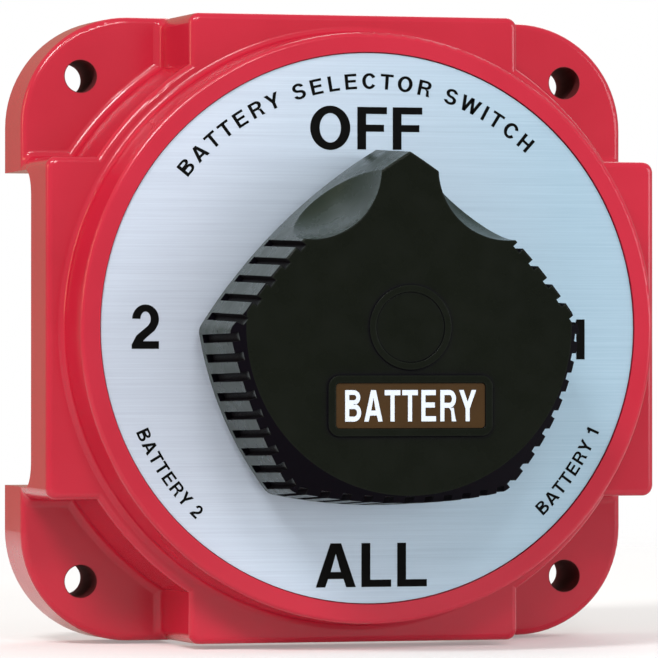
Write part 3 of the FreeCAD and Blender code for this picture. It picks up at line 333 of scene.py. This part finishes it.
def make_black_plastic():
    """Black moulding: a dull face, a painted sheen that makes the flanks a lighter green-grey, and
    painted shade that turns the grooves and lower bevel deep black.
    """
    paint = Paint("black_plastic")
    paint.shine(0.10)
    normal = paint.node("ShaderNodeTexCoord").outputs["Normal"]
    tilt = paint.node("ShaderNodeSeparateXYZ", Vector=normal).outputs["Y"]  # -1 forward, 0 sideways
    face = paint.blend(paint.noise(40.0), (0.0018, 0.0030, 0.0010), (0.0040, 0.0054, 0.0026))
    worn = paint.blend(paint.edges(), face, (0.006, 0.008, 0.005))
    # painted sheen: faces turned sideways get a lighter green-grey than the face, standing in for their
    # grazing reflection
    sheen_flank = paint.blend(paint.noise(70.0, detail=6.0), (0.013, 0.020, 0.014), (0.028, 0.041, 0.031))
    body = paint.blend(paint.spread(tilt, 0.0, 1.0, -0.90, -0.45), worn, sheen_flank)
    # painted shade: the lower bevel band, and the grooves and corners found by ambient occlusion, are
    # darkened near black and made rough
    not_flank = paint.spread(tilt, 1.0, 0.0, -0.30, -0.12)
    not_face = paint.spread(tilt, 0.0, 1.0, -0.96, -0.90)
    below = paint.spread(paint.along("Z"), 1.0, 0.0, 0.010, 0.018)
    bevel_shade = paint.combine("MULTIPLY", paint.combine("MULTIPLY", not_flank, not_face), below)
    shade = paint.combine("MAXIMUM", bevel_shade, paint.hollow_shade())
    paint.colour(paint.blend(shade, body, (0.0010, 0.0003, 0.0024)))
    satin = paint.spread(paint.noise(160.0, detail=6.0), 0.22, 0.36)
    paint.rough(paint.combine("MAXIMUM", satin, shade))
    paint.bump(paint.noise(1500.0, detail=2.0), 0.10, 0.0001, 0.0004)
    return paint.material


def make_phenolic():
    """Dark brown-black compression moulding with a mottled surface."""
    paint = Paint("phenolic")
    mottle = paint.spread(paint.noise(260.0, detail=8.0), 0, 1)
    paint.colour(paint.blend(mottle, (0.020, 0.012, 0.009), (0.052, 0.032, 0.022)))
    paint.rough(paint.spread(paint.noise(90.0), 0.38, 0.58))
    paint.bump(paint.noise(900.0, detail=3.0), 0.15, 0.0001)
    return paint.material


def make_metal(name, dark, light, low, high):
    """A worked metal: tarnish in patches, fine tool marks and brighter edges."""
    paint = Paint(name, Metallic=1.0)
    tone = paint.blend(paint.spread(paint.noise(140.0, detail=6.0), 0, 1), dark, light)
    bright = tuple(min(1.0, 1.15 * level) for level in light)
    paint.colour(paint.blend(paint.edges(), tone, bright))
    paint.rough(paint.spread(paint.noise(320.0, detail=5.0), low, high))
    paint.bump(paint.noise(900.0, detail=3.0), 0.10, 0.0001)
    return paint.material


def make_seal_rubber():
    """Dull black rubber."""
    paint = Paint("seal_rubber")
    paint.colour(paint.blend(paint.noise(300.0), (0.012, 0.012, 0.012), (0.026, 0.026, 0.026)))
    paint.rough(paint.spread(paint.noise(500.0), 0.6, 0.8))
    paint.bump(paint.noise(1200.0), 0.2, 0.0001)
    return paint.material


def make_badge_brown():
    """Dark brown printed label with a soft satin face."""
    paint = Paint("badge_brown")
    paint.shine(0.15)
    paint.colour(paint.blend(paint.noise(120.0), (0.036, 0.017, 0.004), (0.052, 0.025, 0.006)))
    paint.rough(paint.spread(paint.noise(300.0), 0.30, 0.42))
    paint.bump(paint.noise(2000.0), 0.06, 0.00005)
    return paint.material


def make_ink(name, first, second, low, high):
    """Screen-printed ink, a little uneven."""
    paint = Paint(name)
    paint.shine(0.04)
    paint.colour(paint.blend(paint.noise(400.0, detail=6.0), first, second))
    paint.rough(paint.spread(paint.noise(900.0), low, high))
    paint.bump(paint.noise(3000.0), 0.08, 0.00003)
    return paint.material


# for each: name, darker and lighter colour, least and most roughness
METALS = (
    ("copper", (0.62, 0.27, 0.16), (0.86, 0.47, 0.32), 0.28, 0.46),
    ("tinned_brass", (0.55, 0.42, 0.20), (0.84, 0.68, 0.38), 0.24, 0.42),
    ("stainless_steel", (0.48, 0.48, 0.50), (0.70, 0.70, 0.72), 0.22, 0.38),
)
INKS = (
    ("black_ink", (0.0015, 0.0015, 0.0014), (0.0035, 0.0035, 0.0032), 0.50, 0.65),
    ("white_ink", (0.60, 0.66, 0.73), (0.68, 0.73, 0.80), 0.35, 0.5),
)


def make_materials():
    """Every finish, by the record's slot, and the two inks."""
    materials = {
        "red_plastic": make_red_plastic(),
        "brushed_aluminium": make_brushed_aluminium(),
        "black_plastic": make_black_plastic(),
        "phenolic": make_phenolic(),
        "seal_rubber": make_seal_rubber(),
        "badge_brown": make_badge_brown(),
    }
    for maker, rows in ((make_metal, METALS), (make_ink, INKS)):
        for row in rows:
            materials[row[0]] = maker(*row)
    return materials


def finish_cad_nodes(materials):
    """Give each carried-over node the finish that the record names for it."""
    for part in frame["record"]["subparts"]:
        node = frame["nodes"][part["node"]]
        node.data.materials.clear()
        node.data.materials.append(materials[part["material_slot"]])


# Lettering -------------------------------------------------------------------------------------------
# A plain bold grotesque drawn here: each glyph is a list of outlines, in units of the capital height.

STEM = 0.209
BAR = 0.165
LONGEST_SIDE = 0.25  # outlines are divided into sides no longer than this


def box_outline(left, low, right, high):
    return [(left, low), (right, low), (right, high), (left, high)]


def bowl(centre, outer, inner, start, end, steps=14):
    """Part of an oval ring between two angles in degrees."""
    turns = [math.radians(start + (end - start) * i / steps) for i in range(steps + 1)]
    outside = [(centre[0] + outer[0] * math.cos(t), centre[1] + outer[1] * math.sin(t)) for t in turns]
    inside = [(centre[0] + inner[0] * math.cos(t), centre[1] + inner[1] * math.sin(t)) for t in turns]
    return outside + inside[::-1]


def slant(foot, head, width):
    """A leaning stroke whose ends are level; foot and head are its left corners."""
    return [foot, (foot[0] + width, foot[1]), (head[0] + width, head[1]), head]


def letter_a():
    half, apex, foot = 0.475, 0.125, 0.225
    left = [(0, 0), (foot, 0), (foot + 0.07, 0.19), (half, 0.19), (half, 0.35), (foot + 0.13, 0.35),
            (half, 0.76), (half, 1), (half - apex, 1)]
    return [left, [(2 * half - x, y) for x, y in left[::-1]]]


def letter_b():
    upper = bowl((0.44, 0.765), (0.34, 0.235), (0.135, 0.085), -90, 90)
    lower = bowl((0.46, 0.28), (0.365, 0.28), (0.155, 0.12), -90, 90)
    return [box_outline(0, 0, STEM, 1), upper, lower,
            box_outline(STEM, 0.85, 0.44, 1), box_outline(STEM, 0.40, 0.46, 0.56),
            box_outline(STEM, 0.56, 0.44, 0.68), box_outline(STEM, 0, 0.46, 0.16)]


def letter_r():
    return [box_outline(0, 0, STEM, 1), bowl((0.48, 0.715), (0.335, 0.285), (0.125, 0.125), -90, 90),
            box_outline(STEM, 0.84, 0.48, 1), box_outline(STEM, 0.43, 0.48, 0.59),
            [(0.60, 0), (0.84, 0), (0.78, 0.10), (0.70, 0.43), (0.46, 0.43), (0.56, 0.33)]]


def letter_s():
    return [bowl((0.41, 0.72), (0.375, 0.30), (0.165, 0.135), 12, 270, 20),
            bowl((0.41, 0.28), (0.41, 0.30), (0.19, 0.135), 90, -168, 20)]


def letter_w():
    return [slant((0.245, 0), (0, 1), 0.215), slant((0.245, 0), (0.545, 1), 0.215),
            slant((0.845, 0), (0.545, 1), 0.215), slant((0.845, 0), (1.085, 1), 0.215)]


def letter_y():
    return [box_outline(0.34, 0, 0.34 + STEM, 0.40),
            [(0.34, 0.40), (0.34 + STEM, 0.40), (0.445, 0.62), (0.235, 1), (0, 1)],
            [(0.34 + STEM, 0.40), (0.89, 1), (0.655, 1), (0.445, 0.62)]]


def figure_one():
    return [box_outline(0.22, 0, 0.43, 1),
            [(0, 0.68), (0.22, 0.68), (0.22, 0.99), (0.20, 0.91), (0.13, 0.85), (0, 0.82)]]


def figure_two():
    ring = bowl((0.335, 0.675), (0.325, 0.335), (0.125, 0.175), 178, -22, 18)
    tail = [(0.636, 0.55), (0.451, 0.609), (0.40, 0.53), (0.12, 0.31), (0.0, 0.10), (0.0, 0.0),
            (0.66, 0.0), (0.66, 0.175), (0.27, 0.175), (0.36, 0.26), (0.56, 0.42)]
    return [ring, tail]


# each glyph: advance, room before its outline, outlines
GLYPHS = {
    "A": (1.006, 0.028, letter_a()),
    "B": (1.006, 0.106, letter_b()),
    "C": (1.006, 0.061, [bowl((0.46, 0.5), (0.46, 0.52), (0.235, 0.345), 32, 328, 28)]),
    "E": (0.929, 0.106, [box_outline(0, 0, STEM, 1), box_outline(STEM, 1 - BAR, 0.75, 1),
                         box_outline(STEM, 0.44, 0.70, 0.44 + BAR), box_outline(STEM, 0, 0.76, BAR)]),
    "F": (0.851, 0.106, [box_outline(0, 0, STEM, 1), box_outline(STEM, 1 - BAR, 0.71, 1),
                         box_outline(STEM, 0.42, 0.64, 0.42 + BAR)]),
    "H": (1.006, 0.099, [box_outline(0, 0, STEM, 1), box_outline(0.60, 0, 0.60 + STEM, 1),
                         box_outline(STEM, 0.43, 0.60, 0.43 + BAR)]),
    "I": (0.387, 0.089, [box_outline(0, 0, STEM, 1)]),
    "L": (0.851, 0.106, [box_outline(0, 0, STEM, 1), box_outline(STEM, 0, 0.706, BAR)]),
    "O": (1.084, 0.061, [bowl((0.48, 0.5), (0.48, 0.52), (0.255, 0.345), 90, 270, 20),
                         bowl((0.48, 0.5), (0.48, 0.52), (0.255, 0.345), -90, 90, 20)]),
    "R": (1.006, 0.106, letter_r()),
    "S": (0.929, 0.054, letter_s()),
    "T": (0.851, 0.019, [box_outline(0, 1 - BAR, 0.813, 1),
                         box_outline(0.302, 0, 0.302 + STEM, 1 - BAR)]),
    "W": (1.315, 0.007, letter_w()),
    "Y": (0.929, 0.021, letter_y()),
    "1": (0.774, 0.096, figure_one()),
    "2": (0.774, 0.036, figure_two()),
    " ": (0.387, 0.0, []),
}


def text_outlines(text, tracking=0.0):
    """The text's outlines, centred on x = 0, and its width, in capital heights."""
    outlines, along = [], 0.0
    for sign in text:
        advance, before, shapes = GLYPHS[sign]
        outlines += [[(along + before + x, y) for x, y in shape] for shape in shapes]
        along += advance + tracking
    points = [x for shape in outlines for x, _ in shape]
    left, right = min(points), max(points)
    middle = (left + right) / 2
    return [[(x - middle, y) for x, y in shape] for shape in outlines], right - left


def divided(shape, step):
    """An outline with long sides divided, so that it can bend round an arc."""
    points = []
    for (x0, y0), (x1, y1) in zip(shape, shape[1:] + shape[:1]):
        count = max(1, math.ceil(math.hypot(x1 - x0, y1 - y0) / step))
        points += [(x0 + (x1 - x0) * i / count, y0 + (y1 - y0) * i / count) for i in range(count)]
    return points


def letter_piece(name, text, material, back, front, lay, body, tracking=0.0):
    """Raised lettering between two depths; lay turns a text point into the front view's (x, z)."""
    mesh = bmesh.new()
    outlines, _ = text_outlines(text, tracking)
    for shape in outlines:
        flat = [lay(x, y) for x, y in divided(shape, LONGEST_SIDE)]
        rims = [[mesh.verts.new((x, depth, z)) for x, z in flat] for depth in (back, front)]
        mesh.faces.new(rims[0])
        mesh.faces.new(rims[1][::-1])
        for i in range(len(flat)):
            j = (i + 1) % len(flat)
            mesh.faces.new((rims[0][i], rims[1][i], rims[1][j], rims[0][j]))
    bmesh.ops.recalc_face_normals(mesh, faces=mesh.faces)
    return finish_piece(mesh, name, material, body)


def finish_piece(mesh, name, material, body, smooth=False):
    """Turn a bmesh into a piece that rides on a body."""
    data = bpy.data.meshes.new(name)
    mesh.to_mesh(data)
    mesh.free()
    data.materials.append(material)
    if smooth:
        for face in data.polygons:
            face.use_smooth = True
    piece = bpy.data.objects.new(name, data)
    SCENE.collection.objects.link(piece)
    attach(piece, body)
    return piece


def close_rings(mesh, rings):
    """Skin a row of rings into a closed tube."""
    mesh.faces.new(rings[0][::-1])
    mesh.faces.new(rings[-1])
    for ring, following in zip(rings, rings[1:]):
        for i in range(len(ring)):
            j = (i + 1) % len(ring)
            mesh.faces.new((ring[i], ring[j], following[j], following[i]))
    bmesh.ops.recalc_face_normals(mesh, faces=mesh.faces)


def straight(height, width, middle, foot):
    """Lay text level: capital height, width of one unit, centre x and baseline z."""
    return lambda x, y: (middle + x * width, foot + y * height)


def over_arc(height, radius, turn):
    """Lay text round the top of a circle, reading clockwise, its middle turned clockwise from the top."""
    def lay(x, y):
        angle = math.radians(turn) + x * height / radius
        reach = radius + y * height
        return reach * math.sin(angle), reach * math.cos(angle)
    return lay


def under_arc(height, radius, turn):
    """Lay text round the bottom of a circle, reading anticlockwise, its middle turned from the bottom."""
    def lay(x, y):
        angle = math.radians(turn) + x * height / radius
        reach = radius - y * height
        return reach * math.sin(angle), -reach * math.cos(angle)
    return lay


INK_DEPTH = 0.06 * MM  # how far ink stands above its surface, and reaches below it
CAPTION_TRACKING = 0.06  # extra room between letters, in capital heights
TITLE_TRACKING = 0.235

# text printed level: name, text, capital height, width of one unit, centre x and baseline z, in mm
LEVEL_PRINT = (
    ("print_off", "OFF", 9.4, 9.5, -0.95, 39.4),
    ("print_all", "ALL", 9.7, 9.6, 0.2, -57.1),
    ("print_two", "2", 9.6, 9.2, -50.8, -4.6),
    ("print_one", "1", 8.9, 9.2, 47.4, -6.9),
)


def make_dial_print(ink):
    """The positions and plain captions printed on the dial."""
    front, back = -FACE - INK_DEPTH, -FACE + INK_DEPTH
    body, slot = "case", "brushed_aluminium"
    for name, text, height, width, middle, foot in LEVEL_PRINT:
        lay = straight(height * MM, width * MM, middle * MM, foot * MM)
        letter_piece(name, text, ink, back, front, lay, body)
    letter_piece("print_title", "BATTERY SELECTOR SWITCH", ink, back, front,
                 over_arc(3.4 * MM, 52.8 * MM, -4.5), body, TITLE_TRACKING)
    for name, text, turn in (("print_battery_two", "BATTERY 2", -55.0),
                             ("print_battery_one", "BATTERY 1", 55.0)):
        letter_piece(name, text, ink, back, front, under_arc(2.9 * MM, 57.6 * MM, turn), body,
                     CAPTION_TRACKING)


BADGE_WORD = "BATTERY"
BADGE_WORD_HEIGHT = 0.70  # the word's share of the plate's height
BADGE_WORD_WIDTH = 0.88  # and of its width
BADGE_RISE = 0.12 * MM  # how far its letters stand above the plate
BADGE_ROOT = 0.1 * MM  # and reach into it


def make_badge_print(ink):
    """The generic word in raised white letters on the knob's label plate."""
    low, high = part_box("knob_badge")
    height = BADGE_WORD_HEIGHT * (high.z - low.z)
    _, span = text_outlines(BADGE_WORD, CAPTION_TRACKING)
    width = BADGE_WORD_WIDTH * (high.x - low.x) / span
    lay = straight(height, width, 0.0, (low.z + high.z - height) / 2)
    letter_piece("badge_print", BADGE_WORD, ink, low.y + BADGE_ROOT, low.y - BADGE_RISE, lay, "selector",
                 CAPTION_TRACKING)


# Bridge springs --------------------------------------------------------------------------------------

SPRING_TURNS = (45, 90, 135)  # where the springs stand round the shaft, in degrees
SPRING_CIRCLE = 30.0 * MM  # how far their axes are from the shaft's
SPRING_WIRE = 0.45 * MM  # radius of the wire
SPRING_COILS = 5
STEPS_PER_COIL = 24
WIRE_SIDES = 8


def coil_rings(mesh, centre, coil, start, end):
    """Rings of vertices along a helix of radius coil about centre, from y = start to y = end."""
    rings = []
    steps = SPRING_COILS * STEPS_PER_COIL
    for step in range(steps + 1):
        angle = 2 * math.pi * step / STEPS_PER_COIL
        y = start + (end - start) * step / steps
        ring = []
        for side in range(WIRE_SIDES):
            around = 2 * math.pi * side / WIRE_SIDES
            reach = coil + SPRING_WIRE * math.cos(around)
            ring.append(mesh.verts.new((centre[0] + reach * math.cos(angle),
                                        y + SPRING_WIRE * math.sin(around),
                                        centre[1] + reach * math.sin(angle))))
        rings.append(ring)
    return rings


def make_bridge_springs(material):
    """The three coil springs behind the bridge, built at one length, though the real ones shorten as it
    lifts.
    """
    low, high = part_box("contact_springs")
    coil = high.z - SPRING_CIRCLE - SPRING_WIRE
    start, end = low.y + SPRING_WIRE, high.y - SPRING_WIRE
    mesh = bmesh.new()
    for turn in map(math.radians, SPRING_TURNS):
        centre = (SPRING_CIRCLE * math.cos(turn), SPRING_CIRCLE * math.sin(turn))
        close_rings(mesh, coil_rings(mesh, centre, coil, start, end))
    piece = finish_piece(mesh, "bridge_spring_coils", material, "selector", True)
    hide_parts("contact_springs")
    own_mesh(piece)


# Terminal studs --------------------------------------------------------------------------------------

STUD_RADIUS = 6.35 * MM
STUD_CHAMFER = 1.3 * MM  # how much smaller the stem's radius is at its tip
COLLAR_RADIUS = 9.0 * MM
COLLAR_THICKNESS = 2.0 * MM
TAIL_RADIUS = 5.0 * MM
THREAD_PITCH = 1.954 * MM
THREAD_DEPTH = 1.1 * MM
THREAD_SLOPE = 0.42  # the length of one slope of the V, in pitches
THREAD_SHARPNESS = 1.1  # above 1 the V is cut off by a flat at its root
THREAD_SEGMENTS = 48
ROWS_PER_PITCH = 8


def thread_radius(turn, along):
    """The radius of a V thread at an angle (in turns) and a distance along its axis."""
    phase = (along / THREAD_PITCH - turn) % 1.0
    valley = max(0.0, 1.0 - abs(phase - 0.5) / THREAD_SLOPE)
    return STUD_RADIUS - THREAD_DEPTH * min(1.0, valley * THREAD_SHARPNESS)


def stud_rows(tip, tail, base):
    """The stud's surface from tip to tail: rows of (y, radius), one pair for each segment."""
    base_front, base_back = base[0].y, base[1].y
    count = round((tip - base_back) / THREAD_PITCH * ROWS_PER_PITCH)
    rows = []
    for row in range(count + 1):
        y = tip + (base_back - tip) * row / count
        chamfer = STUD_RADIUS - STUD_CHAMFER + (tip - y)
        rows.append([(y, min(thread_radius(i / THREAD_SEGMENTS, tip - y), chamfer))
                     for i in range(THREAD_SEGMENTS)])
    collar_back = base_front + COLLAR_THICKNESS
    for y, radius in ((base_back, STUD_RADIUS), (collar_back, STUD_RADIUS), (collar_back, COLLAR_RADIUS),
                      (base_front, COLLAR_RADIUS), (base_front, TAIL_RADIUS), (tail, TAIL_RADIUS)):
        rows.append([(y, radius)] * THREAD_SEGMENTS)
    return rows


def make_threaded_stud(node, material):
    """A stud with a real helical thread on its stem, and the collar and tail of its CAD solid."""
    low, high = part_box(node)
    centre = ((low.x + high.x) / 2, (low.z + high.z) / 2)
    mesh = bmesh.new()
    rings = []
    for row in stud_rows(high.y, low.y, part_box("terminal_base")):
        ring = []
        for i, (y, radius) in enumerate(row):
            turn = 2 * math.pi * i / THREAD_SEGMENTS
            ring.append(mesh.verts.new((centre[0] + radius * math.cos(turn), y,
                                        centre[1] + radius * math.sin(turn))))
        rings.append(ring)
    close_rings(mesh, rings)
    piece = finish_piece(mesh, node + "_threaded", material, "case")
    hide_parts(node)


def main():
    make_camera()
    make_studio()
    materials = make_materials()
    finish_cad_nodes(materials)
    make_dial_print(materials["black_ink"])
    make_badge_print(materials["white_ink"])
    make_bridge_springs(materials["stainless_steel"])
    for node in ("common_stud", "battery_one_stud", "battery_two_stud"):
        make_threaded_stud(node, materials["tinned_brass"])


main()
